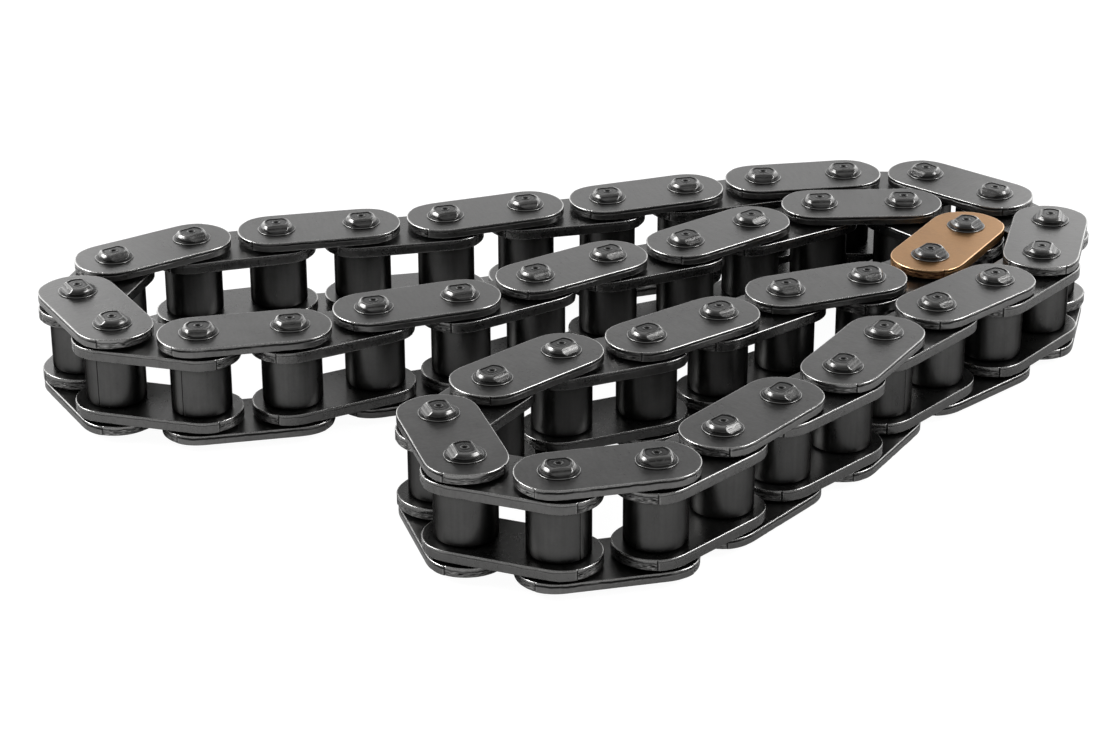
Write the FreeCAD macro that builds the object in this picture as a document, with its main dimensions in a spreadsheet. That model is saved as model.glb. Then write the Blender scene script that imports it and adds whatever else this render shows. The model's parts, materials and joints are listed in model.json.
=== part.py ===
import FreeCAD, Part

import math
import os

import Sketcher

# Closed loop of 9.525 mm pitch roller chain, 44 links, lying on its side on the heads of its pins.
# Z is up and runs along the pins, z = 0 is the plane of the lower pin heads, and the origin is
# the middle of the loop's outline. Links are numbered round the loop: outer link n is followed
# by inner link n, and every pivot joins one outer and one inner link.

# ---------------------------------------------------------------- driving dimensions, mm
# Entries that start with "=" are worked out from the ones above them.
DIMENSIONS = [
    ("chain_pitch", 9.525),
    ("plate_end_radius", 4.35),
    ("plate_half_depth", 4.12),
    ("plate_edge_break", 0.12),
    ("outer_plate_thickness", 1.04),
    ("inner_plate_thickness", 1.20),
    ("inner_width", 5.85),  # between the two inner plates
    ("plate_side_gap", 0.325),  # between an inner plate and the outer plate beside it
    ("pin_diameter", 3.28),
    ("head_height", 0.86),
    ("head_foot_radius", 1.92),
    ("head_foot_height", 0.20),
    ("head_crown_radius", 1.68),
    ("head_crown_height", 0.56),
    ("head_flat_radius", 1.20),
    ("head_centre_radius", 0.34),
    ("head_centre_depth", 0.16),
    ("bush_bore", 3.36),
    ("bush_diameter", 4.70),
    ("bush_stand_out", 0.14),  # beyond the outer face of each inner plate
    ("roller_bore", 4.80),
    ("roller_diameter", 6.35),
    ("roller_side_play", 0.10),
    ("first_pin_x", -13.674774),
    ("first_pin_y", -25.571912),
    # lengths along the pins
    ("bush_length", "=inner_width + 2 * inner_plate_thickness + 2 * bush_stand_out"),
    ("roller_length", "=inner_width - 2 * roller_side_play"),
    # undersides of the pieces above the resting plane
    ("pin_level", "=0"),
    ("outer_plate_bottom_level", "=head_height"),
    ("inner_plate_bottom_level", "=head_height + outer_plate_thickness + plate_side_gap"),
    ("bush_level", "=inner_plate_bottom_level - bush_stand_out"),
    ("roller_level", "=inner_plate_bottom_level + inner_plate_thickness + roller_side_play"),
    ("inner_plate_top_level", "=inner_plate_bottom_level + inner_plate_thickness + inner_width"),
    ("outer_plate_top_level", "=inner_plate_top_level + inner_plate_thickness + plate_side_gap"),
    ("pin_length", "=outer_plate_top_level + outer_plate_thickness + head_height"),
]

# Headings of the links in the plane, degrees anticlockwise from +X, in order round the loop from
# the first pin: outer link 1, inner link 1, outer link 2, ... Together they close the loop.
HEADINGS = [
    -73.04727962, -20.80974908, 13.21086025, 45.94823353,
    50.43081323, 45.39128630, 59.31011475, 48.78928287,
    43.23698176, 50.96067458, 76.05405767, 123.06187143,
    139.40699171, 177.90077699, -171.03834733, -161.84246720,
    -161.00232705, -167.16315421, -160.53015264, -168.23445774,
    -168.43754548, -164.34227190, -145.57297925, -106.42655125,
    -60.41915035, -14.88274468, 11.56245452, 28.07536150,
    18.99767295, 33.29473375, 34.42702075, 25.33593948,
    37.69403616, 32.46805438, 2.04376215, -49.03500464,
    -120.68988525, -141.24455939, -159.09207239, -141.23137570,
    -143.44837106, -157.31420750, -136.76301824, -122.13200828,
]
LINK_COUNT = len(HEADINGS)
PAIR_COUNT = LINK_COUNT // 2
CLOSING_TOLERANCE = 1e-5
FLAT_TOLERANCE = 1e-6

# What a link holds, for each kind of link. Columns: member name, type of piece, alias of its
# level, whether it stands at the link's second pivot, and its name as a piece of its own.
LINK_MEMBERS = {
    "outer": [
        ("outer_lower_plate", "outer_plate", "outer_plate_bottom_level", False,
         "outer_plate_bottom_%02d"),
        ("outer_upper_plate", "outer_plate", "outer_plate_top_level", False,
         "outer_plate_top_%02d"),
        ("outer_first_pin", "pin", "pin_level", False, "pin_%02da"),
        ("outer_second_pin", "pin", "pin_level", True, "pin_%02db"),
    ],
    "inner": [
        ("inner_lower_plate", "inner_plate", "inner_plate_bottom_level", False,
         "inner_plate_bottom_%02d"),
        ("inner_upper_plate", "inner_plate", "inner_plate_top_level", False,
         "inner_plate_top_%02d"),
        ("inner_first_bush", "bush", "bush_level", False, "bush_%02da"),
        ("inner_second_bush", "bush", "bush_level", True, "bush_%02db"),
        ("inner_first_roller", "roller", "roller_level", False, "roller_%02da"),
        ("inner_second_roller", "roller", "roller_level", True, "roller_%02db"),
    ],
}

# Links whose pieces are bodies of their own; each of the others is one compound.
SEPARATE_LINKS = {"outer": (2, 19), "inner": (1, 2)}
SPECIAL_NAMES = {"outer_plate_top_19": "marked_plate_19"}

doc = FreeCAD.newDocument("roller_chain_loop")


def filled_sheet(name, entries):
    """A spreadsheet with the aliases in column A and their contents in column B."""
    sheet = doc.addObject("Spreadsheet::Sheet", name)
    for row, (alias, content) in enumerate(entries, start=1):
        sheet.set("A%d" % row, alias)
        sheet.set("B%d" % row, str(content))
        sheet.setAlias("B%d" % row, alias)
    return sheet


def heading_alias(index):
    return "heading_%s_%02d" % (("outer", "inner")[index % 2], index // 2 + 1)


sizes = filled_sheet("Sizes", DIMENSIONS)
layout = filled_sheet(
    "Headings", [(heading_alias(index), angle) for index, angle in enumerate(HEADINGS)])
doc.recompute()


def size(alias):
    return float(sizes.get(alias))


# ---------------------------------------------------------------- sketch helpers
Vector = FreeCAD.Vector
Constraint = Sketcher.Constraint
Z_AXIS = Vector(0, 0, 1)

# Sketcher's numbers for the points of a curve and for the sketch's own axes
START, END, CENTRE = 1, 2, 3
HORIZONTAL_AXIS, VERTICAL_AXIS = -1, -2
ORIGIN = (HORIZONTAL_AXIS, START)


def sketch_on(body, name, role):
    """A new sketch on the body's origin plane that has the given role."""
    plane = next(item for item in body.Origin.OriginFeatures if item.Role == role)
    sketch = body.newObject("Sketcher::SketchObject", name)
    sketch.AttachmentSupport = (plane, [""])
    sketch.MapMode = "FlatFace"
    return sketch


def dimension(sketch, name, expression, *definition):
    """Adds a named dimension and binds it to the spreadsheet."""
    index = sketch.addConstraint(Constraint(*definition))
    sketch.renameConstraint(index, name)
    sketch.setExpression("Constraints." + name, expression)


def padded(body, sketch, length_alias):
    pad = body.newObject("PartDesign::Pad", body.Name + "_pad")
    pad.Profile = sketch
    pad.setExpression("Length", "Sizes." + length_alias)
    body.Tip = pad
    doc.recompute()
    return pad


# ---------------------------------------------------------------- side plates
def side_plate(name, hole_alias, thickness_alias):
    """Plate on z = 0 with straight flanks and round ends about its two holes.

    The first hole is at the body's origin, the second one pitch along +X.
    """
    body = doc.addObject("PartDesign::Body", name)
    sketch = sketch_on(body, name + "_outline", "XY_Plane")
    pitch = size("chain_pitch")
    radius = size("plate_end_radius")
    half_depth = size("plate_half_depth")
    hole_diameter = size(hole_alias)
    # the flanks cut the end circles this far beyond the holes' centres, at this angle
    overrun = math.sqrt(radius * radius - half_depth * half_depth)
    corner = math.atan2(half_depth, -overrun)
    first_centre = Vector(0, 0, 0)
    second_centre = Vector(pitch, 0, 0)
    left, right = -overrun, pitch + overrun

    first_end, second_end, upper_flank, lower_flank, first_hole, second_hole = range(6)
    sketch.addGeometry([
        Part.ArcOfCircle(
            Part.Circle(first_centre, Z_AXIS, radius), corner, 2 * math.pi - corner),
        Part.ArcOfCircle(
            Part.Circle(second_centre, Z_AXIS, radius), corner - math.pi, math.pi - corner),
        Part.LineSegment(Vector(left, half_depth, 0), Vector(right, half_depth, 0)),
        Part.LineSegment(Vector(left, -half_depth, 0), Vector(right, -half_depth, 0)),
        Part.Circle(first_centre, Z_AXIS, hole_diameter / 2),
        Part.Circle(second_centre, Z_AXIS, hole_diameter / 2),
    ], False)
    sketch.addConstraint([
        Constraint("Coincident", first_end, START, upper_flank, START),
        Constraint("Coincident", first_end, END, lower_flank, START),
        Constraint("Coincident", second_end, END, upper_flank, END),
        Constraint("Coincident", second_end, START, lower_flank, END),
        Constraint("Coincident", first_end, CENTRE, *ORIGIN),
        Constraint("PointOnObject", second_end, CENTRE, HORIZONTAL_AXIS),
        Constraint("Horizontal", upper_flank),
        Constraint("Horizontal", lower_flank),
        Constraint("Coincident", first_hole, CENTRE, first_end, CENTRE),
        Constraint("Coincident", second_hole, CENTRE, second_end, CENTRE),
        Constraint("Equal", first_end, second_end),
        Constraint("Equal", first_hole, second_hole),
    ])
    dimension(sketch, "pitch", "Sizes.chain_pitch",
              "DistanceX", first_end, CENTRE, second_end, CENTRE, pitch)
    dimension(sketch, "end_radius", "Sizes.plate_end_radius", "Radius", first_end, radius)
    dimension(sketch, "upper_flank", "Sizes.plate_half_depth",
              "DistanceY", first_end, CENTRE, upper_flank, START, half_depth)
    dimension(sketch, "lower_flank", "Sizes.plate_half_depth",
              "DistanceY", lower_flank, START, first_end, CENTRE, half_depth)
    dimension(sketch, "hole_size", "Sizes." + hole_alias, "Diameter", first_hole, hole_diameter)
    pad = padded(body, sketch, thickness_alias)

    # the outline's corners are broken all round on both faces; the holes stay sharp
    rim = []
    for number, edge in enumerate(pad.Shape.Edges, start=1):
        is_flat = edge.BoundBox.ZLength < FLAT_TOLERANCE
        is_hole = isinstance(edge.Curve, Part.Circle) and edge.Curve.Radius < half_depth
        if is_flat and not is_hole:
            rim.append("Edge%d" % number)
    if len(rim) != 8:
        raise RuntimeError("rim of %s has %d edges" % (name, len(rim)))
    edge_break = body.newObject("PartDesign::Chamfer", name + "_edge_break")
    edge_break.Base = (pad, rim)
    edge_break.setExpression("Size", "Sizes.plate_edge_break")
    body.Tip = edge_break
    doc.recompute()
    return body


def outer_plate(name):
    return side_plate(name, "pin_diameter", "outer_plate_thickness")


def inner_plate(name):
    return side_plate(name, "bush_diameter", "inner_plate_thickness")


# ---------------------------------------------------------------- riveted pin
# Dimensions of the half section. Columns: point, name, expression.
PIN_RADII = [
    (1, "low_mark_radius", "Sizes.head_centre_radius"),
    (2, "low_flat_radius", "Sizes.head_flat_radius"),
    (3, "low_crown_radius", "Sizes.head_crown_radius"),
    (4, "low_foot_radius", "Sizes.head_foot_radius"),
    (6, "shank_radius", "Sizes.pin_diameter / 2"),
    (8, "high_foot_radius", "Sizes.head_foot_radius"),
    (10, "high_crown_radius", "Sizes.head_crown_radius"),
    (11, "high_flat_radius", "Sizes.head_flat_radius"),
    (12, "high_mark_radius", "Sizes.head_centre_radius"),
]
HIGH_SEAT = "Sizes.pin_length - Sizes.head_height"
PIN_HEIGHTS = [
    (0, "low_mark_depth", "Sizes.head_centre_depth"),
    (3, "low_crown_level", "Sizes.head_height - Sizes.head_crown_height"),
    (4, "low_foot_level", "Sizes.head_height - Sizes.head_foot_height"),
    (5, "low_head_height", "Sizes.head_height"),
    (7, "high_head_seat", HIGH_SEAT),
    (9, "high_foot_level", HIGH_SEAT + " + Sizes.head_foot_height"),
    (10, "high_crown_level", HIGH_SEAT + " + Sizes.head_crown_height"),
    (11, "pin_length", "Sizes.pin_length"),
    (13, "high_mark_depth", "Sizes.pin_length - Sizes.head_centre_depth"),
]


def riveted_pin(name):
    """Turned shank with a formed head at each end.

    Each head has a low foot ring against the outer plate, sloping shoulders, a flat top and a
    small conical centre mark.
    """
    body = doc.addObject("PartDesign::Body", name)
    sketch = sketch_on(body, name + "_half_section", "XZ_Plane")
    seat = size("head_height")
    foot = size("head_foot_radius")
    # radius and height of the lower half's points, from the axis out to the shank
    lower_half = [
        (0, size("head_centre_depth")),
        (size("head_centre_radius"), 0),
        (size("head_flat_radius"), 0),
        (size("head_crown_radius"), seat - size("head_crown_height")),
        (foot, seat - size("head_foot_height")),
        (foot, seat),
        (size("pin_diameter") / 2, seat),
    ]
    length = size("pin_length")
    points = lower_half + [(radius, length - height) for radius, height in reversed(lower_half)]
    count = len(points)
    # line n runs from point n to the next
    corners = [Vector(radius, height, 0) for radius, height in points]
    sketch.addGeometry(
        [Part.LineSegment(corners[i], corners[(i + 1) % count]) for i in range(count)], False)
    sketch.addConstraint(
        [Constraint("Coincident", i, END, (i + 1) % count, START) for i in range(count)]
        + [Constraint("Horizontal", i) for i in (1, 5, 7, 11)]
        + [Constraint("Vertical", i) for i in (4, 6, 8, 13)]
        + [Constraint("PointOnObject", 0, START, VERTICAL_AXIS),
           Constraint("PointOnObject", 1, START, HORIZONTAL_AXIS)])
    for i, label, expression in PIN_RADII:
        dimension(sketch, label, expression, "DistanceX", *ORIGIN, i, START, points[i][0])
    for i, label, expression in PIN_HEIGHTS:
        dimension(sketch, label, expression, "DistanceY", *ORIGIN, i, START, points[i][1])
    turned = body.newObject("PartDesign::Revolution", name + "_turned")
    turned.Profile = sketch
    turned.ReferenceAxis = (sketch, ["V_Axis"])
    turned.Angle = 360.0
    body.Tip = turned
    doc.recompute()
    return body


# ---------------------------------------------------------------- bush and roller
def tube(name, outside_alias, bore_alias, length_alias):
    """Tube standing on z = 0 about the body's Z axis."""
    body = doc.addObject("PartDesign::Body", name)
    sketch = sketch_on(body, name + "_ring", "XY_Plane")
    circles = (("outside_size", outside_alias), ("bore_size", bore_alias))
    for i, (label, alias) in enumerate(circles):
        diameter = size(alias)
        sketch.addGeometry(Part.Circle(Vector(0, 0, 0), Z_AXIS, diameter / 2), False)
        sketch.addConstraint(Constraint("Coincident", i, CENTRE, *ORIGIN))
        dimension(sketch, label, "Sizes." + alias, "Diameter", i, diameter)
    padded(body, sketch, length_alias)
    return body


def bush(name):
    return tube(name, "bush_diameter", "bush_bore", "bush_length")


def roller(name):
    return tube(name, "roller_diameter", "roller_bore", "roller_length")


MAKERS = {
    "outer_plate": outer_plate,
    "inner_plate": inner_plate,
    "pin": riveted_pin,
    "bush": bush,
    "roller": roller,
}

# ---------------------------------------------------------------- where the pins stand
headings = [float(layout.get(heading_alias(index))) for index in range(LINK_COUNT)]
pitch = size("chain_pitch")
pins = [(size("first_pin_x"), size("first_pin_y"))]
for heading in headings:
    angle = math.radians(heading)
    x, y = pins[-1]
    pins.append((x + pitch * math.cos(angle), y + pitch * math.sin(angle)))
gap = math.dist(pins[-1], pins[0])
if gap > CLOSING_TOLERANCE:
    raise RuntimeError("the loop misses its first pin by %g mm" % gap)


def stand(thing, kind, number, at_second=False, level=0.0):
    """Places a thing at the first or second pivot of a link, turned to the link's heading."""
    index = 2 * (number - 1) + (1 if kind == "inner" else 0)
    x, y = pins[index + 1] if at_second else pins[index]
    turn = FreeCAD.Rotation(Z_AXIS, headings[index])
    thing.Placement = FreeCAD.Placement(Vector(x, y, level), turn)


# ---------------------------------------------------------------- links in separate pieces
pieces = []  # each with the number of solids it must have

for kind, numbers in SEPARATE_LINKS.items():
    for number in numbers:
        for _, piece_type, level_alias, at_second, name_format in LINK_MEMBERS[kind]:
            name = name_format % number
            body = MAKERS[piece_type](SPECIAL_NAMES.get(name, name))
            stand(body, kind, number, at_second, size(level_alias))
            pieces.append((body, 1))

# ---------------------------------------------------------------- the other links
# Each is a compound of separate solids that never move against one another. One pattern of each
# piece is drawn at the origin, and copies linked to it make up one outer and one inner link.
patterns = {
    piece_type: maker(piece_type + "_pattern") for piece_type, maker in MAKERS.items()
}


def member_copy(name, piece_type, level_alias, at_second):
    copy = doc.addObject("App::Link", name)
    copy.setLink(patterns[piece_type])
    copy.LinkTransform = False
    copy.setExpression("Placement.Base.z", "Sizes." + level_alias)
    if at_second:
        copy.setExpression("Placement.Base.x", "Sizes.chain_pitch")
    return copy


members = {
    kind: [member_copy(*row[:4]) for row in rows] for kind, rows in LINK_MEMBERS.items()
}
doc.recompute()

for kind, copies in members.items():
    for number in range(1, PAIR_COUNT + 1):
        if number in SEPARATE_LINKS[kind]:
            continue
        compound = doc.addObject("Part::Compound", "%s_link_%02d" % (kind, number))
        compound.Links = copies
        stand(compound, kind, number)
        pieces.append((compound, len(copies)))

doc.recompute()

# ---------------------------------------------------------------- checks, then the files
for thing in doc.Objects:
    if "Invalid" in thing.State or "Error" in thing.State:
        raise RuntimeError("%s did not recompute: %s" % (thing.Name, thing.State))
for piece, solid_count in pieces:
    shape = piece.Shape
    if shape.isNull() or not shape.isValid():
        raise RuntimeError("bad shape: " + piece.Label)
    if len(shape.Solids) != solid_count:
        raise RuntimeError("%s has %d solids" % (piece.Label, len(shape.Solids)))

os.makedirs("parts", exist_ok=True)
for piece, _ in pieces:
    piece.Shape.exportStep("parts/%s.step" % piece.Label)
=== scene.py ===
"""A closed loop of roller chain lying on its side on a pale floor.

22 outer and 22 inner links alternate round the loop. The pins stand along +Z, the lowest rivet
heads are near z = 0, and the camera looks from the -Y side towards +Y and down.
Shapes are in millimetres, lights and camera in metres. A plate's own frame has its first hole at
the origin, its second hole along +X and its lower face at z = 0.
Every chain mesh has a colour attribute "marks": red is worn edge, brightened also as painted
highlights and glints; green torn metal; blue darkens the colour, as painted shade in grooves,
creases, recesses, on the rivet heads and at the roller ends, and as dark blots and joint lines.
"""
import json
import math

import bmesh
import bpy
import numpy as np
from mathutils import Matrix, Vector, geometry


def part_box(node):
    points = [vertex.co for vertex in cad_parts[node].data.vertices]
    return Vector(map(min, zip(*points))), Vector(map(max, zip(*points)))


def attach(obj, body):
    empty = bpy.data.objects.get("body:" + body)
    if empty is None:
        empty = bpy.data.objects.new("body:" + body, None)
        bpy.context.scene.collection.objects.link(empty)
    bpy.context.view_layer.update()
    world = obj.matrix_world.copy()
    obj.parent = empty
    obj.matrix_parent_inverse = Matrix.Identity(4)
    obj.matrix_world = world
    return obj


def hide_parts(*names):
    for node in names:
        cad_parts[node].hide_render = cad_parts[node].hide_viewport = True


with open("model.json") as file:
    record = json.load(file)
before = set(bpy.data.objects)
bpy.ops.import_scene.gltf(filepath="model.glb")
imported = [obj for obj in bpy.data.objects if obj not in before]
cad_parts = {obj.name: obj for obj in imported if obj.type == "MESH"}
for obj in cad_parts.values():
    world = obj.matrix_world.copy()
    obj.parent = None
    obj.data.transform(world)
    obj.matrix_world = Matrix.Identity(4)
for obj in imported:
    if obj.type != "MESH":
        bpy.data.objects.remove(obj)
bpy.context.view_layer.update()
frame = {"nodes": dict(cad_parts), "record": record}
SCENE = bpy.context.scene

MM = 0.001
LINKS = 22  # of each kind
PIVOTS = 2 * LINKS
PITCH = 9.525

# side plates
END_R = 4.35  # radius of the rounded ends
HALF_D = 4.12  # half the depth between the straight flanks
T_OUT, T_IN = 1.04, 1.20
NOTCH = math.radians(45)  # where the end cut meets the flank cut, from the link's long axis

# pins, bushes and rollers
R_PIN = 1.64
R_BUSH, R_BUSH_IN, L_BUSH = 2.35, 1.68, 8.53
R_ROLL, R_ROLL_IN, L_ROLL = 3.175, 2.40, 5.65

# heights: everything is centred on half of Z_TOP
Z_TOP = 12.70
Z_OUT_LOW, Z_IN_LOW = 0.86, 2.225
Z_FACE_TOP = Z_TOP - Z_OUT_LOW  # upper face of the top outer plate
Z_OUT_TOP = Z_FACE_TOP - T_OUT
Z_IN_TOP = Z_TOP - Z_IN_LOW - T_IN
Z_BUSH = (Z_TOP - L_BUSH) / 2
Z_ROLL = (Z_TOP - L_ROLL) / 2

FLOOR_GREY = 0.60
# (sine of the height above the horizon, brightness)
BACK_SKY = [(0.0, 0.74), (0.25, 0.52), (0.40, 0.30), (0.60, 0.24), (0.85, 0.42), (1.0, 0.55)]
FRONT_SKY = [(0.0, 0.34), (0.20, 0.34), (0.42, 0.20), (0.65, 0.20), (0.88, 0.46), (1.0, 0.55)]
LIGHTS = [  # name, place, aimed at, width, height, radiance
    ("box_left", (-0.47, 0.04, 0.32), (0, 0, 0), 0.34, 0.24, 12.5),
    ("box_right", (0.48, -0.06, 0.32), (0, 0, 0), 0.30, 0.22, 10.5),
    ("low_card_behind", (-0.002, 0.16, 0.045), (-0.002, 0.0, 0.0), 0.112, 0.088, 0.74),
    ("low_card_left", (-0.173, 0.155, 0.066), (-0.03, 0.0, 0.0), 0.25, 0.13, 1.75),
    ("low_card_right", (0.167, 0.155, 0.066), (0.03, 0.0, 0.0), 0.236, 0.13, 1.62),
]


# ------------------------------------------------------------------ where the links are
def find_pivots():
    """Pivot centres in order round the loop."""
    joints = {joint["name"]: joint for joint in frame["record"]["behaviour"]["joints"]}
    found = {}
    for k in range(PIVOTS):
        name = "pivot_%02d%s" % (k // 2 + 1, "ab"[k % 2])
        if name in joints:
            found[k] = Vector(joints[name]["pos_m"][:2]) / MM
    for k in range(PIVOTS):
        if k not in found:  # the opened pivot: mirror the other end of its outer link
            low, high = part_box("outer_link_%02d" % (k // 2 + 1))
            middle = Vector(((low.x + high.x) / 2, (low.y + high.y) / 2)) / MM
            found[k] = 2 * middle - found[k - 1 if k % 2 else k + 1]
    return found


pivots = find_pivots()
heading = {}
for k in range(PIVOTS):
    ahead = pivots[(k + 1) % PIVOTS] - pivots[k]
    heading[k] = math.atan2(ahead.y, ahead.x)


def place(pivot, second=False, z=0.0, turn=0.0):
    """Matrix at either end of the link that starts at a pivot, turned from the link's heading."""
    centre = pivots[(pivot + 1) % PIVOTS] if second else pivots[pivot]
    shift = Matrix.Translation(Vector((centre.x, centre.y, z)) * MM)
    return shift @ Matrix.Rotation(heading[pivot] + turn, 4, "Z")


# ------------------------------------------------------------------ small helpers
def ripple(along, length, step, rng):
    """Smooth periodic noise in about -1..1 along a closed line of the given length."""
    count = max(4, int(round(length / step)))
    knots = rng.uniform(-1, 1, count)
    where = (np.asarray(along) / length * count) % count
    cell = np.floor(where).astype(int) % count
    part = where - np.floor(where)
    before, first, second, after = (knots[(cell + d) % count] for d in (-1, 0, 1, 2))
    cubic = 3 * (first - second) + after - before
    square = 2 * before - 5 * first + 4 * second - after
    return first + 0.5 * part * (second - before + part * (square + part * cubic))


def bell(offset, width):
    return np.exp(-((offset / width) ** 2))


def soft_min(one, two, width):
    share = np.clip(0.5 + 0.5 * (two - one) / width, 0, 1)
    return two * (1 - share) + one * share - width * share * (1 - share)


def step_up(value, low, high):
    part = np.clip((value - low) / (high - low), 0, 1)
    return part * part * (3 - 2 * part)


class Shell:
    """Rows of vertices with their marks, and the faces between them."""

    def __init__(self):
        self.verts, self.marks, self.faces = [], [], []
        self.count = 0

    def row(self, x, y, z, edge=0.0, torn=0.0, dark=0.0):
        """Add a row and return the index of its first vertex."""
        start = self.count
        self.verts.append(np.column_stack(np.broadcast_arrays(x, y, z)))
        self.marks.append(np.column_stack(np.broadcast_arrays(edge, torn, dark, x)[:3]))
        self.count += len(x)
        return start

    def band(self, low, high, count, turned=False, flipped=False):
        """Quads between two closed rows, given their first indices."""
        for j in range(count):
            k = (j + 1) % count
            if turned:
                j, k = k, j
            quad = (low + j, low + k, high + k, high + j)
            self.faces.append(quad[::-1] if flipped else quad)

    def fill(self, loops, up):
        """Flat triangles inside the first loop and outside the others, facing up or down."""
        points = np.concatenate(self.verts)
        ids = [v for loop in loops for v in loop]
        rims = [[Vector((points[v][0], points[v][1], 0.0)) for v in loop] for loop in loops]
        for corners in geometry.tessellate_polygon(rims):
            first, second, third = (ids[corner] for corner in corners)
            one, two = points[second] - points[first], points[third] - points[first]
            if (one[0] * two[1] - two[0] * one[1] > 0) != up:
                second, third = third, second
            self.faces.append((first, second, third))

    def build(self, name, smooth_count=None, sharp=None):
        """Make the mesh: the first smooth_count faces are smooth, or all of them."""
        if smooth_count is None:
            smooth_count = len(self.faces)
        mesh = bpy.data.meshes.new(name)
        mesh.from_pydata((np.concatenate(self.verts) * MM).tolist(), [], self.faces)
        smooth = [i < smooth_count for i in range(len(self.faces))]
        mesh.polygons.foreach_set("use_smooth", smooth)
        layer = mesh.color_attributes.new("marks", "FLOAT_COLOR", "POINT")
        rgba = np.ones((self.count, 4), np.float32)
        rgba[:, :3] = np.clip(np.concatenate(self.marks), 0, 1)
        layer.data.foreach_set("color", rgba.ravel())
        if sharp is not None:
            mesh.set_sharp_from_angle(angle=math.radians(sharp))
        mesh.validate()
        # thin slivers in the flat faces can come out turned over, so the normals are made to agree
        work = bmesh.new()
        work.from_mesh(mesh)
        bmesh.ops.recalc_face_normals(work, faces=work.faces)
        work.to_mesh(mesh)
        work.free()
        mesh.update()
        return mesh


# ------------------------------------------------------------------ side plates
DENSE = [0.0, 0.025, 0.052, 0.082, 0.120, 0.165, 0.225, 0.32]  # sample distances from a notch
END_STEP, FLANK_STEP = 0.155, 0.20
FAR = 9.0  # stands for "no notch near"
HOLE_SEGS = 56
RIM = 0.05  # width of the clean ring between a mark and a flat face


def spread(length, step, dense_start=False, dense_end=False):
    """Distances along a run, closer together beside a notch."""
    low = DENSE if dense_start else [0.0]
    high = DENSE if dense_end else [0.0]
    count = max(2, int(round((length - low[-1] - high[-1]) / step)))
    middle = np.linspace(low[-1], length - high[-1], count + 1)[1:]
    samples = low + list(middle) + [length - v for v in reversed(high[1:-1])]
    return [v for v in samples if v < length - 1e-9]


def end_reach(off):
    """Distance from the hole centre to the edge, off being the angle from the long axis."""
    return END_R + (HALF_D - END_R) * step_up(abs(off), NOTCH, math.pi / 2)


def outline():
    """Position, outward normal, distance to the notch, share of end zone, run, whole length."""
    pos, near, end, run = [], [], [], []
    base = 0.0
    cuts = [-math.pi / 2, -NOTCH, NOTCH, math.pi / 2]
    for side, centre_x in ((0, 0.0), (1, PITCH)):
        for part in range(3):
            low, high = cuts[part], cuts[part + 1]
            length = END_R * (high - low)
            for v in spread(length, END_STEP, part > 0, part < 2):
                off = low + v / END_R
                angle = off + math.pi + math.pi * side
                direction = np.array([math.cos(angle), math.sin(angle)])
                pos.append(np.array([centre_x, 0.0]) + end_reach(off) * direction)
                near.append(min(([v] if part > 0 else []) + ([length - v] if part < 2 else [])))
                end.append(1.0 if part == 1 and v > 0 else 0.0)
                run.append(base + v)
            base += length
        for v in spread(PITCH, FLANK_STEP):
            pos.append(np.array([v, -HALF_D] if side == 0 else [PITCH - v, HALF_D]))
            near.append(FAR)
            end.append(0.0)
            run.append(base + v)
        base += PITCH
    pos = np.array(pos)
    # weigh both neighbours evenly however far off they are
    ahead = np.roll(pos, -1, 0) - pos
    behind = pos - np.roll(pos, 1, 0)
    along = ahead / np.linalg.norm(ahead, axis=1)[:, None]
    along = along + behind / np.linalg.norm(behind, axis=1)[:, None]
    along /= np.linalg.norm(along, axis=1)[:, None]
    normal = np.c_[along[:, 1], -along[:, 0]]
    return pos, normal, np.array(near), np.array(end), np.array(run), base


OUTLINE = outline()


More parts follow.
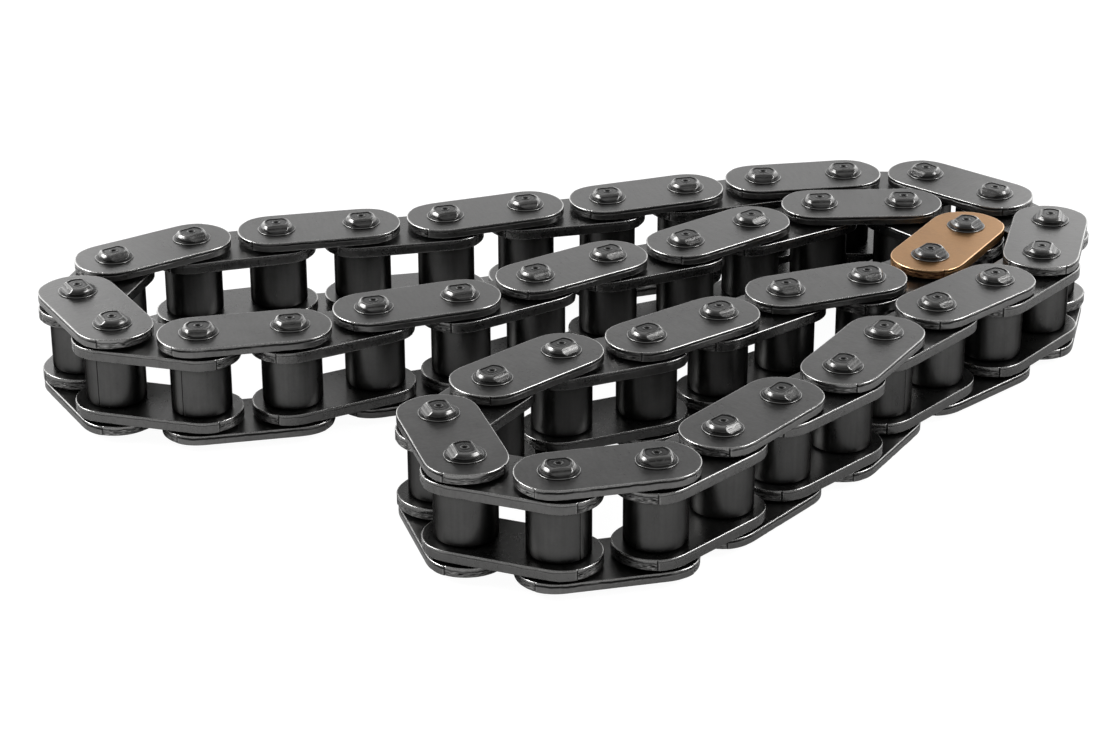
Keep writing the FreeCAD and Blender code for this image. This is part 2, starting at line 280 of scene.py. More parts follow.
def plate_levels(thick, rng, line, glints):
    """Rows down the cut edge: (height, inset, share of the notch, edge, torn and dark marks)."""
    end, run, total = OUTLINE[3:]

    def wave(step, shift=0.0):
        return ripple(run + shift, total, step, rng)

    slow, quick, fine = wave(3.1), wave(0.8), wave(0.26)
    broken = np.clip(0.95 + 0.55 * wave(1.7) + 0.25 * fine, 0, 1)
    side = wave(2.2)
    flat = 1 - end
    roll = (0.115 * flat + 0.165 * end) * (1.0 + 0.22 * slow)  # how far the upper edge rolls over
    # height of the cut line: high and thin on the flanks, midway and ragged round the ends
    cut = flat * (thick - 0.300 + 0.020 * slow + 0.032 * quick + 0.018 * fine)
    cut = cut + end * (thick * (0.60 + 0.05 * slow) + 0.070 * quick + 0.035 * fine)
    deep = flat * (0.100 * line) * broken + end * 0.060 * broken
    gap = flat * (0.022 + 0.092 * line) + end * 0.052
    step = end * 0.022  # the end zone lies a little inside the flank cut
    lower = step + end * (0.028 + 0.012 * quick) + flat * 0.006

    # painted shade in and beside the groove of the cut line
    def shade(on_flat, on_end):
        return (on_flat * line * flat + on_end * end) * broken

    # the rolled-over top edge carries the edge mark: edge wear, brightened also as painted
    # highlight
    levels = [
        (thick, roll, 0, 0.5, 0, 0),
        (thick - 0.085 * roll, 0.56 * roll, 0.3, 1.0, 0, 0),
        (thick - 0.32 * roll, 0.22 * roll, 0.6, 1.0, 0, 0),
        (thick - 0.70 * roll, 0.045 * roll + step * 0.5, 1, 0.55, 0, 0),
        (cut + gap + 0.012, 0.002 + step, 1, 0.22, 0, shade(0.20, 0.10)),
        (cut + gap * 0.5, 0.40 * deep + step, 1, 0, 0.3 * end, shade(0.90, 0.6)),
        (cut, deep + step, 1, 0, 0.6 * end, shade(1.0, 0.95)),
        (cut - gap * 0.6, 0.50 * deep + lower * 0.6, 1, 0, end, shade(0.85, 0.7)),
        (cut - gap * 1.3, 0.05 * deep + lower * 0.8, 1, 0.25, end, 0),
    ]
    rows = 7  # down the torn part below the cut line
    for i in range(rows):
        down = (i + 0.7) / rows
        z = (cut - gap * 1.3) * (1 - down) + 0.085 * down
        rough = wave(0.27, 1.3 * i) * (0.024 * end + 0.0020 * flat)
        rough = rough + wave(0.9) * (0.010 * end + 0.001 * flat)
        blot = np.clip(1.8 * wave(0.36, 0.7 * i), 0, 1) * end * (1.0 if i < 5 else 0.7)
        # painted glints: bright spots put into the edge mark on the torn ends
        glint = np.clip(1.8 * wave(0.31, 0.4 * i) - 0.35, 0, 1) * end * glints
        inset = lower + rough + 0.004 * side * flat
        levels.append((z, inset, 1, 0.10 + 0.75 * glint, end * (1 - glint), blot * (1 - glint)))
    chip = np.clip(wave(0.55) - 0.45, 0, 1)  # small bites along the lower edge
    return levels + [
        (0.062, lower + 0.006 + 0.02 * chip, 1, 0.15, 0.5 * end, 0.5 * chip),
        (0.024 + 0.02 * chip, lower + 0.022 + 0.04 * chip, 0.7, 0.5, 0, 0.6 * chip),
        (0, lower + 0.060 + 0.03 * chip, 0.3, 0.2, 0, 0.2 * chip),
    ]


def plate_mesh(name, thick, hole, seed, line, glints=1.0):
    """One stamped plate. line is how strongly the cut line shows, glints how bright the ends."""
    pos, normal, near, end = OUTLINE[:4]
    count = len(pos)
    levels = plate_levels(thick, np.random.default_rng(seed), line, glints)
    shell = Shell()

    # painted shade in the groove of each notch, and a painted highlight along a strip beside it
    notch = 0.085 * bell(near, 0.070)
    groove = bell(near, 0.062)
    lip_highlight = bell(near - 0.165, 0.055) * (1 - end)
    for z, inset, notched, edge, torn, dark in levels:
        x, y = (pos - normal * (inset + notch * notched)[:, None]).T
        dark = np.maximum(dark, groove * (0.85 if notched == 1 else 0.25 * notched))
        edge = np.maximum(edge, lip_highlight * (0.5 if notched == 1 else 0.0))
        shell.row(x, y, z, edge, torn, dark)
    last = (len(levels) - 1) * count
    for i in range(len(levels) - 1):
        shell.band(i * count, (i + 1) * count, count, turned=True)

    # holes, with a broken corner at each face: (height, radius, edge mark)
    angle = np.linspace(0, 2 * math.pi, HOLE_SEGS, endpoint=False)
    cos, sin = np.cos(angle), np.sin(angle)
    hole_levels = [
        (thick, hole + 0.07, 0.35), (thick - 0.05, hole + 0.015, 0.35), (thick - 0.12, hole, 0.0),
        (0.12, hole, 0.0), (0.05, hole + 0.015, 0.35), (0.0, hole + 0.07, 0.35),
    ]
    tops, bottoms = [], []
    for centre_x in (0.0, PITCH):
        rings = [shell.row(centre_x + r * cos, r * sin, z, edge) for z, r, edge in hole_levels]
        for upper, below in zip(rings, rings[1:]):
            shell.band(upper, below, HOLE_SEGS)
        tops.append(rings[0])
        bottoms.append(rings[-1])
    smooth_count = len(shell.faces)

    # unmarked rings inside the plate's edge and outside each hole keep the faces clean
    for up, rim, z, inset, holes in (
        (True, 0, thick, levels[0][1], tops),
        (False, last, 0.0, levels[-1][1], bottoms),
    ):
        x, y = (pos - normal * (inset + RIM)[:, None]).T
        ring = shell.row(x, y, z)
        shell.band(rim, ring, count, flipped=not up)
        loops = [range(ring, ring + count)]
        for start, centre_x in zip(holes, (0.0, PITCH)):
            radius = hole + 0.07 + RIM
            ring = shell.row(centre_x + radius * cos, radius * sin, z)
            shell.band(start, ring, HOLE_SEGS, turned=True, flipped=not up)
            loops.append(range(ring, ring + HOLE_SEGS))
        shell.fill(loops, up)
    return shell.build(name, smooth_count)


# ------------------------------------------------------------------ riveted pins
# Each head has a round foot, a steep neck, two flats sloping away across the link and a flat top
# that is long along the link.
# (radius, height above the plate face, how far the lobes reach, edge mark, dark mark)
# In these tables the dark marks are painted shade: in the crease at the foot, down the neck,
# over the flat top and in its recess; the edge marks are edge wear, brightened also as painted
# highlights.
FOOT = [
    (R_PIN, -0.30, 0.0, 0.0, 0.0), (R_PIN, 0.000, 0.0, 0.0, 0.9),
    (1.980, 0.000, 0.2, 0.0, 1.0), (2.045, 0.016, 0.5, 0.0, 0.9),
    (2.080, 0.048, 0.8, 0.05, 0.45), (2.078, 0.086, 0.9, 0.12, 0.1),
    (2.045, 0.118, 1.0, 0.16, 0.1), (1.985, 0.132, 1.0, 0.05, 0.4),
    (1.905, 0.134, 1.0, 0.0, 0.8), (1.825, 0.146, 0.9, 0.0, 1.0),
    (1.772, 0.195, 0.9, 0.0, 0.9),
]
NECK = [
    (1.768, 0.262, 0.9, 0.0, 0.75), (1.775, 0.315, 0.9, 0.0, 0.60),
    (1.765, 0.375, 0.9, 0.0, 0.52), (1.745, 0.440, 0.9, 0.0, 0.46),
    (1.715, 0.505, 0.9, 0.0, 0.42), (1.675, 0.570, 0.9, 0.0, 0.38),
    (1.625, 0.632, 0.8, 0.0, 0.34), (1.570, 0.690, 0.8, 0.0, 0.28),
    (1.525, 0.740, 0.7, 0.10, 0.15), (1.485, 0.782, 0.6, 0.18, 0.0),
    (1.450, 0.812, 0.5, 0.22, 0.0),
]
# (share of the way out to the edge of the flat top, height, edge mark, dark mark)
CROWN = [
    (1.00, 0.848, 0.28, 0.0), (0.965, 0.858, 0.18, 0.2), (0.925, 0.856, 0.05, 0.5),
    (0.885, 0.832, 0.0, 0.9), (0.850, 0.798, 0.0, 1.0), (0.810, 0.784, 0.0, 0.92),
    (0.740, 0.790, 0.0, 0.74), (0.640, 0.796, 0.0, 0.66), (0.540, 0.792, 0.0, 0.70),
    (0.470, 0.784, 0.0, 0.90), (0.430, 0.796, 0.0, 0.70), (0.390, 0.822, 0.15, 0.35),
    (0.345, 0.826, 0.15, 0.35), (0.300, 0.804, 0.0, 0.75), (0.250, 0.760, 0.0, 1.0),
    (0.180, 0.722, 0.0, 1.0), (0.090, 0.706, 0.0, 1.0),
]
CROWN_CENTRE = 0.705  # height of the middle of the flat top
CROWN_EDGE = 0.842
HEAD_LIMIT = 0.8595  # no point of a head stands higher
FLAT_TOP, FLAT_FLOOR = 0.835, 0.235  # heights between which the flats slope
LEDGE_DROP = 0.030  # small fall part of the way down each flat
JOIN_ROWS = 4  # between the neck and the edge of the flat top
PIN_SEGS = 112


def rivet_head(angle, sign, face_z, rng):
    """Rows (x, y, z, edge, torn, dark) from the plate face outward; sign is the way it points."""
    turn = 2 * math.pi
    phase = rng.uniform(0, 6.28, 4)
    lobes = 0.010 * np.cos(6 * angle + phase[0]) + 0.008 * np.cos(3 * angle + phase[1])
    lobes = lobes + 0.005 * ripple(angle, turn, 0.30, rng)
    wave = ripple(angle, turn, 0.50, rng)
    # pairs hold the +Y and the -Y flat
    halves = [rng.uniform(0.92, 1.10) for _ in range(2)]
    runs = [rng.uniform(0.95, 1.30) for _ in range(2)]
    skew = rng.uniform(-0.10, 0.10)
    ledges = [rng.uniform(0.20, 0.32) for _ in range(2)]
    top_length = rng.uniform(1.33, 1.42)
    lean = rng.uniform(0.0, 0.012)

    sin = np.sin(angle + skew)
    across = np.abs(sin)
    # half is from the middle to the start of each flat, run its width per unit of fall
    half, run, ledge = (np.where(sin >= 0, *pair) for pair in (halves, runs, ledges))
    top_edge = soft_min(top_length, (half - 0.02) / np.maximum(across, 0.05), 0.16)
    limit = half + (FLAT_TOP - LEDGE_DROP - FLAT_FLOOR) * run  # where the flat meets the foot
    rows = []

    def add(radius, z, edge, dark):
        tilt = lean * (radius / 1.3) * np.cos(angle + phase[3]) * (z > 0.2)
        z = face_z + sign * np.clip(z + tilt, -1, HEAD_LIMIT)
        rows.append((radius * np.cos(angle), radius * np.sin(angle), z, edge, 0.0, dark))

    for radius, up, reach, edge, dark in FOOT:
        add(radius * (1 + lobes * reach), up + 0.004 * wave * (up > 0.03), edge, dark)

    neck = [
        (radius * (1 + lobes * reach), up + 0.008 * wave * up, edge, dark)
        for radius, up, reach, edge, dark in NECK
    ]
    radius, up, reach = NECK[-1][:3]
    for i in range(1, JOIN_ROWS + 1):
        part = i / (JOIN_ROWS + 1)
        joined = radius * (1 + lobes * reach) * (1 - part) + top_edge * part
        neck.append((joined, up + (CROWN_EDGE - up) * part, 0.5, 0.0))
    for i, (radius, up, edge, dark) in enumerate(neck):
        furthest = limit - 0.004 * (i + 1)  # rows cut off by the flat stay just apart
        over = radius * across > furthest
        depth = np.where(over, furthest, radius * across)
        radius = np.where(over, depth / np.maximum(across, 1e-3), radius)
        down = depth - half
        plane = FLAT_TOP - np.maximum(down, 0) / run
        plane = plane - LEDGE_DROP * step_up(down, ledge - 0.035, ledge + 0.035)
        on_flat = step_up(up - plane, 0.0, 0.06)
        # painted shade in the crease at each ledge and where each flat meets the foot
        fold_shade = bell(down - ledge, 0.05) * on_flat
        low = step_up(depth, limit - 0.16, limit - 0.02) * on_flat
        edge = np.maximum(edge * (1 - on_flat), 0.18 * bell(up - plane, 0.035))
        dark = np.maximum(np.maximum(dark * (1 - on_flat), 0.90 * fold_shade), 0.80 * low)
        # the sloping flat is darkened and keeps faint scores across it
        scored = 0.34 + 0.24 * np.cos(turn * down / 0.30 + phase[2])
        add(radius, soft_min(up, plane, 0.060), edge, np.maximum(dark, scored * on_flat))

    for share, up, edge, dark in CROWN:
        # the rings turn from the long shape of the top to round ones
        long_share = step_up(share, 0.30, 0.75)
        radius = share * (top_edge * long_share + 1.02 * (1 - long_share))
        add(radius, up + 0.003 * wave * (share > 0.5), edge, dark)
    return rows


def pin_mesh(name, seed):
    rng = np.random.default_rng(seed)
    angle = np.linspace(0, 2 * math.pi, PIN_SEGS, endpoint=False)
    low = rivet_head(angle, -1, Z_OUT_LOW, rng)
    high = rivet_head(angle, 1, Z_FACE_TOP, rng)
    shell = Shell()
    rings = [shell.row(*row) for row in low[::-1] + high]
    for below, above in zip(rings, rings[1:]):
        shell.band(below, above, PIN_SEGS)
    bottom = shell.row([0.0], [0.0], Z_OUT_LOW - CROWN_CENTRE, dark=1.0)
    top = shell.row([0.0], [0.0], Z_FACE_TOP + CROWN_CENTRE, dark=1.0)
    for j in range(PIN_SEGS):
        k = (j + 1) % PIN_SEGS
        shell.faces.append((bottom, k, j))
        shell.faces.append((top, rings[-1] + j, rings[-1] + k))
    return shell.build(name, sharp=62)


# ------------------------------------------------------------------ bushes and rollers
def tube_mesh(name, r_out, r_in, length, corner, seam, seed, segs):
    """A tube standing on z = 0; a seam is the joint of a curled strip, on the +X side."""
    if seam:  # more columns beside the joint
        spot = np.linspace(-1, 1, segs, endpoint=False) + 1.0 / segs
        angle = np.pi * np.sign(spot) * (0.22 * np.abs(spot) + 0.78 * np.abs(spot) ** 2.6)
    else:
        angle = np.linspace(-math.pi, math.pi, segs, endpoint=False)
    around = angle * r_out  # distance from the joint

    def uneven_round(step, wave_seed):
        return ripple(angle + math.pi, 2 * math.pi, step, np.random.default_rng(wave_seed))

    swell = 0.004 * uneven_round(1.1, seed)
    groove, lip_highlight, joint_dark = 0.0, 0.0, 0.0
    if seam:
        groove = 0.11 * bell(around, 0.032) + 0.012 * bell(around, 0.30)
        # painted highlight on the strips beside the joint
        lip_highlight = bell(np.abs(around) - 0.12, 0.05) * 0.25
        joint_dark = bell(around, 0.045)
        end_shade_unevenness = 0.75 + 0.25 * uneven_round(0.9, seed + 9)

    arc = []  # the rounded outer corner: radius, height off its centre, edge mark
    for degrees in np.linspace(0, 90, 6):
        tilt = math.radians(degrees)
        edge = 0.8 if 10 < degrees < 80 else 0.2
        arc.append((r_out - corner + corner * math.sin(tilt), corner * math.cos(tilt), edge))
    # (radius, z, edge mark) up the outside, then down the bore
    outside = [(radius, corner - rise, edge) for radius, rise, edge in arc]
    for z in np.linspace(corner, length - corner, 17 if seam else 9)[1:-1]:
        outside.append((r_out + 0.004 * math.sin(math.pi * z / length), z, 0.0))
    outside += [(radius, length - corner + rise, edge) for radius, rise, edge in arc[::-1]]
    bore = [(r_in + 0.10, length, 0.2), (r_in, length - 0.10, 0.1), (r_in, 0.10, 0.1),
            (r_in + 0.10, 0.0, 0.2)]

    shell = Shell()
    for i, (radius, z, edge) in enumerate(outside + bore):
        dark = 0.0
        if i < len(outside):
            radius = radius - groove + swell
            edge = np.maximum(edge, lip_highlight)
            dark = joint_dark
        if seam:  # painted shade at both ends: darker towards the lower plate for its dark reflection, and towards the upper plate for its shadow
            lower = 0.95 * math.exp(-((z / 0.68) ** 2))
            upper = 0.7 * math.exp(-(((length - z) / 0.45) ** 2))
            dark = np.maximum(dark, end_shade_unevenness * max(lower, upper))
        shell.row(radius * np.cos(angle), radius * np.sin(angle), z, edge, 0.0, dark)
    rows = len(outside + bore)
    for i in range(rows):
        shell.band(i * segs, ((i + 1) % rows) * segs, segs)
    return shell.build(name, sharp=50)


# ------------------------------------------------------------------ materials
WHITE = (1.0, 1.0, 1.0)


class Nodes:
    """Short names for building the node tree of a material or world."""

    def __init__(self, owner):
        owner.use_nodes = True
        self.tree = owner.node_tree
        self.tree.nodes.clear()

    def add(self, kind, inputs=None, **settings):
        """A node; its inputs take a number, a vector or colour of three, or a socket."""
        node = self.tree.nodes.new("ShaderNode" + kind)
        for key, value in settings.items():
            setattr(node, key, value)
        for key, value in (inputs or {}).items():
            socket = node.inputs[key]
            if isinstance(value, bpy.types.NodeSocket):
                self.tree.links.new(value, socket)
            else:
                socket.default_value = (*value, 1.0) if socket.type == "RGBA" else value
        return node

    def math(self, operation, one, two, clamp=False):
        inputs = {0: one, 1: two}
        return self.add("Math", inputs, operation=operation, use_clamp=clamp).outputs[0]

    def weigh(self, *terms):
        """Sum of (value, weight) pairs."""
        first = self.math("MULTIPLY", *terms[0])
        return self.math("ADD", first, self.weigh(*terms[1:])) if terms[1:] else first

    def random(self):
        return self.add("ObjectInfo").outputs["Random"]

    def coords(self, stretch=(1, 1, 1)):
        """Object coordinates, shifted by a fixed amount per piece so that no two match."""
        shift = self.math("MULTIPLY", self.random(), 0.37)
        shifts = self.add("CombineXYZ", {i: shift for i in range(3)}).outputs[0]
        inputs = {0: self.add("TexCoord").outputs["Object"], 1: shifts}
        moved = self.add("VectorMath", inputs, operation="ADD").outputs[0]
        return self.add("VectorMath", {0: moved, 1: stretch}, operation="MULTIPLY").outputs[0]

    def noise(self, vector, scale, detail=3.0, rough=0.55):
        inputs = {"Scale": scale, "Detail": detail, "Roughness": rough, "Vector": vector}
        return self.add("TexNoise", inputs).outputs["Fac"]

    def remap(self, value, span, onto=(0.0, 1.0)):
        inputs = {"Value": value, "From Min": span[0], "From Max": span[1],
                  "To Min": onto[0], "To Max": onto[1]}
        return self.add("MapRange", inputs).outputs[0]

    def mix(self, share, one, two):
        """Colour mix; 6 and 7 are the node's colour inputs, 2 its colour output."""
        return self.add("Mix", {0: share, 6: one, 7: two}, data_type="RGBA").outputs[2]

    def marks(self):
        """The edge, torn and dark marks."""
        marks = self.add("Attribute", attribute_name="marks").outputs["Color"]
        return self.add("SeparateColor", {0: marks}).outputs[:3]

    def bump(self, height, strength, distance, normal=None):
        inputs = {"Strength": strength, "Distance": distance, "Height": height}
        if normal is not None:
            inputs["Normal"] = normal
        return self.add("Bump", inputs).outputs[0]

    def metal(self, colour, rough, normal, **more):
        inputs = {"Base Color": colour, "Metallic": 1.0, "Roughness": rough, "Normal": normal}
        shader = self.add("BsdfPrincipled", {**inputs, **more}).outputs[0]
        self.add("OutputMaterial", {0: shader})


def grey(value):
    return (value, value * 0.992, value * 0.978)


def scaled(colour, factor):
    return tuple(part * factor for part in colour)


def plate_material(name, low, high, wear_and_highlight_tone, torn_tone, groove, rough):
    """Tumbled steel between two tones, with edge wear also brightened as painted highlights,
    torn ends, and painted shade in the grooves.
    """
    mat = bpy.data.materials.new(name)
    nodes = Nodes(mat)
    vec = nodes.coords()
    edge, torn, dark = nodes.marks()
    cloud = nodes.noise(vec, scale=260)
    grain = nodes.noise(vec, scale=2600, detail=4, rough=0.65)
    speck = nodes.noise(vec, scale=6800, detail=2, rough=0.6)
    drag = nodes.noise(nodes.coords(stretch=(1.0, 0.16, 0.16)), scale=3200, rough=0.6)
    tone = nodes.weigh((cloud, 0.36), (grain, 0.40), (drag, 0.24))
    colour = nodes.mix(nodes.remap(tone, span=(0.38, 0.62)), low, high)
    # piece to piece, the finish differs a little
    differ = nodes.remap(nodes.random(), span=(0, 1), onto=(0.0, 0.30))
    colour = nodes.mix(differ, colour, scaled(low, 0.72))
    patchy = nodes.remap(grain, span=(0.35, 0.65), onto=(0.35, 1.0))
    colour = nodes.mix(nodes.math("MULTIPLY", torn, patchy), colour, torn_tone)
    # edge wear, brightened also as painted highlights along the rims and painted glints on the
    # torn ends
    wear_and_sheen = nodes.noise(vec, scale=900, detail=2)
    wear_and_sheen = nodes.remap(wear_and_sheen, span=(0.30, 0.62), onto=(0.72, 1.0))
    colour = nodes.mix(nodes.math("MULTIPLY", edge, wear_and_sheen), colour, wear_and_highlight_tone)
    # painted shade: the dark mark blackens the grooves of the cut line and notches; it also
    # darkens blots on the torn ends and bites along the lower edge
    colour = nodes.mix(dark, colour, groove)

    # torn metal is rougher, worn edges smoother
    gloss = nodes.weigh((grain, 0.6), (cloud, 0.4))
    gloss = nodes.remap(gloss, span=(0.35, 0.65), onto=rough)
    gloss = nodes.math("ADD", gloss, nodes.math("MULTIPLY", torn, 0.16))
    gloss = nodes.math("SUBTRACT", gloss, nodes.math("MULTIPLY", edge, 0.06), clamp=True)

    fine = nodes.weigh((grain, 0.6), (speck, 0.25), (drag, 0.3))
    normal = nodes.bump(fine, strength=0.34, distance=0.00004)
    ragged = nodes.math("MULTIPLY", nodes.noise(vec, scale=5200, rough=0.7), torn)
    normal = nodes.bump(ragged, strength=0.55, distance=0.00006, normal=normal)
    nodes.metal(colour, gloss, normal)
    return mat


def pin_material(name):
    mat = bpy.data.materials.new(name)
    nodes = Nodes(mat)
    vec = nodes.coords()
    edge, _, dark = nodes.marks()
    cloud = nodes.noise(vec, scale=700)
    grain = nodes.noise(vec, scale=4200, rough=0.6)
    colour = nodes.mix(nodes.remap(cloud, span=(0.35, 0.65)), grey(0.120), grey(0.175))
    # edge wear, brightened also as painted highlights round the head
    wear_and_sheen = nodes.remap(grain, span=(0.3, 0.6), onto=(0.7, 1.0))
    colour = nodes.mix(nodes.math("MULTIPLY", edge, wear_and_sheen), colour, grey(0.55))
    # painted shade at the foot, down the neck, over the flat top and in the dimple
    colour = nodes.mix(dark, colour, grey(0.016))
    gloss = nodes.remap(cloud, span=(0.3, 0.7), onto=(0.17, 0.26))
    gloss = nodes.math("ADD", gloss, nodes.math("MULTIPLY", dark, 0.12))
    normal = nodes.bump(cloud, strength=0.22, distance=0.00005)
    normal = nodes.bump(grain, strength=0.12, distance=0.00003, normal=normal)
    nodes.metal(colour, gloss, normal)
    return mat


def tube_material(name, low, high, wear_and_highlight_tone, rough):
    """Dark steel between two tones, streaked along the tube."""
    mat = bpy.data.materials.new(name)
    nodes = Nodes(mat)
    vec = nodes.coords()
    edge, _, dark = nodes.marks()
    streak = nodes.noise(nodes.coords(stretch=(1.0, 1.0, 0.05)), scale=1500, rough=0.6)
    cloud = nodes.noise(vec, scale=420)
    grain = nodes.noise(vec, scale=3600, rough=0.6)
    tone = nodes.weigh((streak, 0.45), (cloud, 0.35), (grain, 0.20))
    colour = nodes.mix(nodes.remap(tone, span=(0.36, 0.64)), low, high)
    differ = nodes.remap(nodes.random(), span=(0, 1), onto=(0.0, 0.25))
    colour = nodes.mix(differ, colour, scaled(low, 0.6))
    colour = nodes.mix(nodes.math("MULTIPLY", edge, 0.8), colour, wear_and_highlight_tone)
    # the dark mark is the joint line, and painted shade at the roller ends
    colour = nodes.mix(dark, colour, scaled(WHITE, 0.012))
    gloss = nodes.weigh((streak, 0.5), (cloud, 0.5))
    gloss = nodes.remap(gloss, span=(0.35, 0.65), onto=rough)
    height = nodes.weigh((grain, 0.5), (streak, 0.5))
    normal = nodes.bump(height, strength=0.10, distance=0.00003)
    # a dark finish reflects less at a grazing view
    nodes.metal(colour, gloss, normal, **{"Specular Tint": scaled(WHITE, 0.22)})
    return mat


M_OUTER = plate_material(
    "outer_plate_steel", low=grey(0.122), high=grey(0.178), wear_and_highlight_tone=grey(0.47),
    torn_tone=grey(0.16), groove=grey(0.010), rough=(0.27, 0.37))
# a darker copy of the outer plate steel, as painted shade for the shadow the outer plates cast on
# the inner ones
M_INNER_SHADED = plate_material(
    "inner_plate_steel_painted_shade", low=grey(0.098), high=grey(0.145), wear_and_highlight_tone=grey(0.38),
    torn_tone=grey(0.15), groove=grey(0.010), rough=(0.25, 0.35))
# the torn tone is a dark red-brown: the cut metal's own colour, made darker as painted shade for
# the dark surroundings the sides reflect
M_COPPER = plate_material(
    "copper_coated_plate", low=(0.385, 0.205, 0.083), high=(0.510, 0.280, 0.118),
    wear_and_highlight_tone=(0.86, 0.56, 0.32), torn_tone=(0.11, 0.038, 0.016),
    groove=(0.04, 0.012, 0.006), rough=(0.30, 0.40))
M_PIN = pin_material("rivet_steel")
M_ROLLER = tube_material(
    "roller_steel_dark", low=grey(0.083), high=grey(0.116), wear_and_highlight_tone=grey(0.14),
    rough=(0.27, 0.36))
M_BUSH = tube_material(
    "bush_steel", low=grey(0.10), high=grey(0.16), wear_and_highlight_tone=grey(0.30), rough=(0.25, 0.36))


# ------------------------------------------------------------------ shared shapes
def coated(mesh, material):
    mesh.materials.append(material)
    return mesh


PLATES_OUT = [
    coated(plate_mesh("outer_plate_shape_%d" % i, T_OUT, R_PIN, seed=100 + i, line=1.0), M_OUTER)
    for i in range(6)
]
PLATES_IN = [
    coated(plate_mesh("inner_plate_shape_%d" % i, T_IN, R_BUSH, seed=200 + i, line=0.35), M_INNER_SHADED)
    for i in range(6)
]
PINS = [coated(pin_mesh("pin_shape_%d" % i, seed=300 + i), M_PIN) for i in range(8)]
ROLLERS = [
    coated(tube_mesh("roller_shape_%d" % i, R_ROLL, R_ROLL_IN, L_ROLL, corner=0.17, seam=True,
                     seed=400 + i, segs=144), M_ROLLER)
    for i in range(3)
]
BUSH = coated(tube_mesh("bush_shape", R_BUSH, R_BUSH_IN, L_BUSH, corner=0.12, seam=False,
                        seed=500, segs=72), M_BUSH)
COPPER = coated(plate_mesh("marked_plate_shape", T_OUT, R_PIN, seed=190, line=0.6, glints=0.2),
                M_COPPER)


# ------------------------------------------------------------------ links
MARKED_LINK = 19  # the outer link whose top plate is coppered
# where these rollers' joints point, in degrees from +X
SEAMS = {"13a": -118.0, "13b": -122.0, "01b": -50.0, "04a": -45.0}
ENDS = (("a", False), ("b", True))


class Link:
    """One link; where its pieces have no nodes of their own they share the link's node."""

    def __init__(self, kind, number):
        self.kind, self.number = kind, number
        self.tag = "%02d" % number
        self.pivot = 2 * (number - 1) + (kind == "inner")
        self.body = "%s_%s" % (kind, self.tag)
        self.group = "%s_link_%s" % (kind, self.tag)
        self.own = self.group not in frame["nodes"]

    def add(self, name, mesh, matrix, node, slot, body=None):
        obj = bpy.data.objects.new(name, mesh)
        SCENE.collection.objects.link(obj)
        obj.matrix_world = matrix
        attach(obj, body if body and self.own else self.body)
        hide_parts(node if self.own else self.group)

    def add_plates(self, shapes, z_low, z_top):
        low, high = rng.integers(0, 6, 2)
        flips = rng.integers(0, 2, 2)
        # a plate turned end for end shows its other cut edges
        for where, z, which, flip in (("top", z_top, high, flips[0]),
                                      ("bottom", z_low, low, flips[1])):
            mesh, slot = shapes[which], "plate_steel"
            node = "%s_plate_%s_%s" % (self.kind, where, self.tag)
            if (self.kind, self.number, where) == ("outer", MARKED_LINK, "top"):
                mesh, node, slot = COPPER, "marked_plate_" + self.tag, "marked_plate"
            matrix = place(self.pivot, bool(flip), z, math.pi if flip else 0.0)
            self.add("%s_%s_plate_%s" % (where, self.kind, self.tag), mesh, matrix, node, slot)


rng = np.random.default_rng(7)
for number in range(1, LINKS + 1):
    link = Link("outer", number)
    link.add_plates(PLATES_OUT, Z_OUT_LOW, Z_OUT_TOP)
    for letter, second in ENDS:
        turn = rng.uniform(-0.05, 0.05) + math.pi * rng.integers(0, 2)
        end = link.tag + letter
        link.add("rivet_pin_" + end, PINS[rng.integers(0, 8)],
                 place(link.pivot, second, 0.0, turn), "pin_" + end, "pin_steel")

for number in range(1, LINKS + 1):
    link = Link("inner", number)
    link.add_plates(PLATES_IN, Z_IN_LOW, Z_IN_TOP)
    for letter, second in ENDS:
        end = link.tag + letter
        link.add("sleeve_" + end, BUSH, place(link.pivot, second, Z_BUSH, rng.uniform(0, 6.28)),
                 "bush_" + end, "bush_steel")
        # most rollers lie with their joint towards +Y
        lie = SEAMS.get(end, 90.0 + rng.uniform(-62, 62))
        turn = math.radians(lie) - heading[link.pivot]
        link.add("curled_roller_" + end, ROLLERS[rng.integers(0, 3)],
                 place(link.pivot, second, Z_ROLL, turn), "roller_" + end, "roller_steel",
                 body="spinning_roller_" + end)


# ------------------------------------------------------------------ floor
def floor_material():
    """A matt floor that the camera sees as evenly lit, with a soft trace of shadow."""
    mat = bpy.data.materials.new("pale_floor")
    nodes = Nodes(mat)
    matt = nodes.add("BsdfPrincipled", {
        "Base Color": scaled(WHITE, FLOOR_GREY), "Roughness": 0.9, "Specular IOR Level": 0.1})
    glow = nodes.add("Emission", {"Color": WHITE, "Strength": 1.20})
    seen = nodes.add("LightPath").outputs["Is Camera Ray"]
    share = nodes.math("MULTIPLY", seen, 0.80)
    both = nodes.add("MixShader", {0: share, 1: matt.outputs[0], 2: glow.outputs[0]})
    nodes.add("OutputMaterial", {0: both.outputs[0]})
    return mat


FLOOR_HALF = 2.5
FLOOR_DROP = 0.00003  # keeps the floor just below z = 0
corners = [(x * FLOOR_HALF, y * FLOOR_HALF, 0) for x, y in ((-1, -1), (1, -1), (1, 1), (-1, 1))]
floor_mesh = bpy.data.meshes.new("floor")
floor_mesh.from_pydata(corners, [], [(0, 1, 2, 3)])
floor = bpy.data.objects.new("floor", floor_mesh)
floor.location.z = -FLOOR_DROP
SCENE.collection.objects.link(floor)
floor_mesh.materials.append(floor_material())


# ------------------------------------------------------------------ light
def sky_curve(nodes, height, stops):
    node = nodes.add("ValToRGB", {0: height})
    elements = node.color_ramp.elements
    for element, (position, value) in zip(elements, (stops[0], stops[-1])):
        element.position = position
        element.color = (value, value, value, 1)
    for position, value in stops[1:-1]:
        elements.new(position).color = (value, value, value, 1)
    return node.outputs[0]


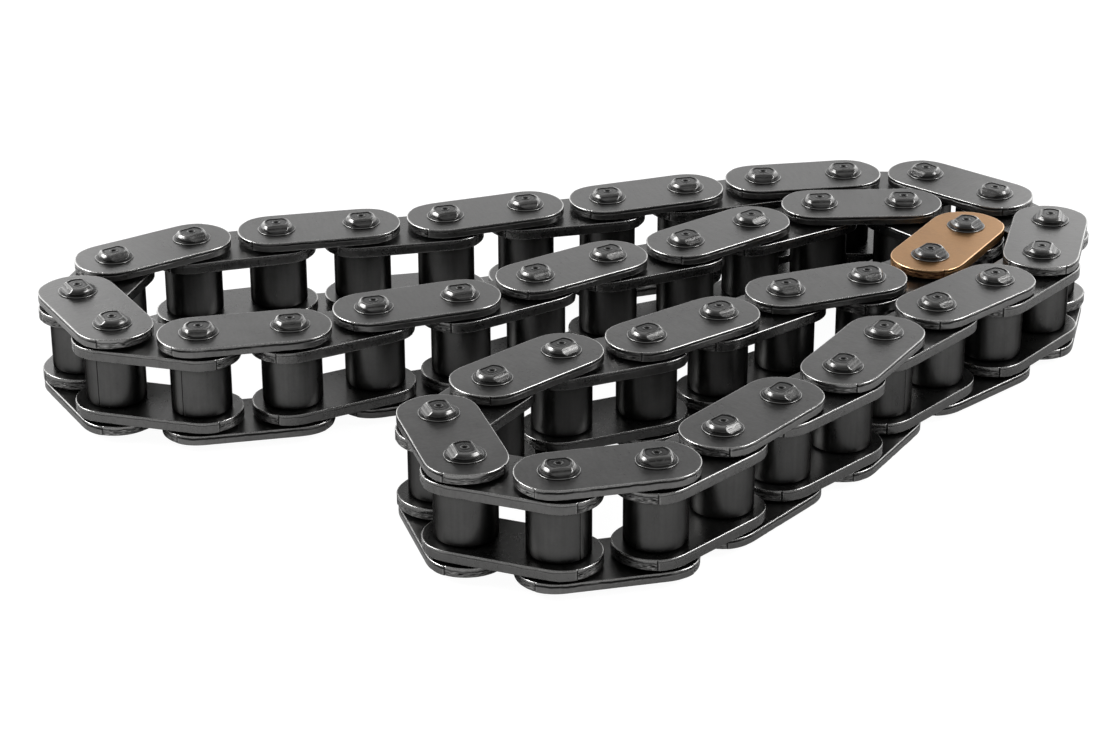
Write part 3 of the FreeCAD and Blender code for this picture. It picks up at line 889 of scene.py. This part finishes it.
def build_world():
    """White to the camera; to everything else a sky that differs between +Y and -Y."""
    world = bpy.data.worlds.new("studio")
    SCENE.world = world
    nodes = Nodes(world)
    direction = nodes.add("TexCoord").outputs["Generated"]
    _, towards_back, height = nodes.add("SeparateXYZ", {0: direction}).outputs
    back = sky_curve(nodes, height, BACK_SKY)
    front = sky_curve(nodes, height, FRONT_SKY)
    side = nodes.remap(towards_back, span=(-0.35, 0.45))
    sky = nodes.mix(side, front, back)
    lit = nodes.add("Background", {"Color": sky, "Strength": 1.0})
    plain = nodes.add("Background", {"Color": WHITE, "Strength": 1.0})
    seen = nodes.add("LightPath").outputs["Is Camera Ray"]
    both = nodes.add("MixShader", {0: seen, 1: lit.outputs[0], 2: plain.outputs[0]})
    nodes.add("OutputWorld", {0: both.outputs[0]})


build_world()
for name, spot, aim, width, height, radiance in LIGHTS:
    data = bpy.data.lights.new(name, "AREA")
    data.shape = "RECTANGLE"
    data.size, data.size_y = width, height
    data.energy = radiance * math.pi * width * height
    lamp = bpy.data.objects.new(name, data)
    SCENE.collection.objects.link(lamp)
    lamp.location = spot
    lamp.rotation_mode = "QUATERNION"
    lamp.rotation_quaternion = (Vector(aim) - Vector(spot)).to_track_quat("-Z", "Y")
    lamp.visible_camera = False

# ------------------------------------------------------------------ camera
CAMERA_X, CAMERA_Y = -0.0020038, -0.3009691
CAMERA_RISE = 0.132506  # above the top of the chain
LOOK_DOWN, CAMERA_TILT = 25.058, 0.144  # degrees
camera_data = bpy.data.cameras.new("camera")
camera_data.sensor_fit = "HORIZONTAL"
camera_data.sensor_width = 36.0
camera_data.lens = 101.67
camera_data.clip_start, camera_data.clip_end = 0.01, 20.0
camera = bpy.data.objects.new("camera", camera_data)
SCENE.collection.objects.link(camera)
camera.location = (CAMERA_X, CAMERA_Y, Z_TOP * MM + CAMERA_RISE)
camera.rotation_euler = (math.radians(90 - LOOK_DOWN), math.radians(CAMERA_TILT), 0.0)
SCENE.camera = camera
SCENE.view_settings.view_transform = "Standard"
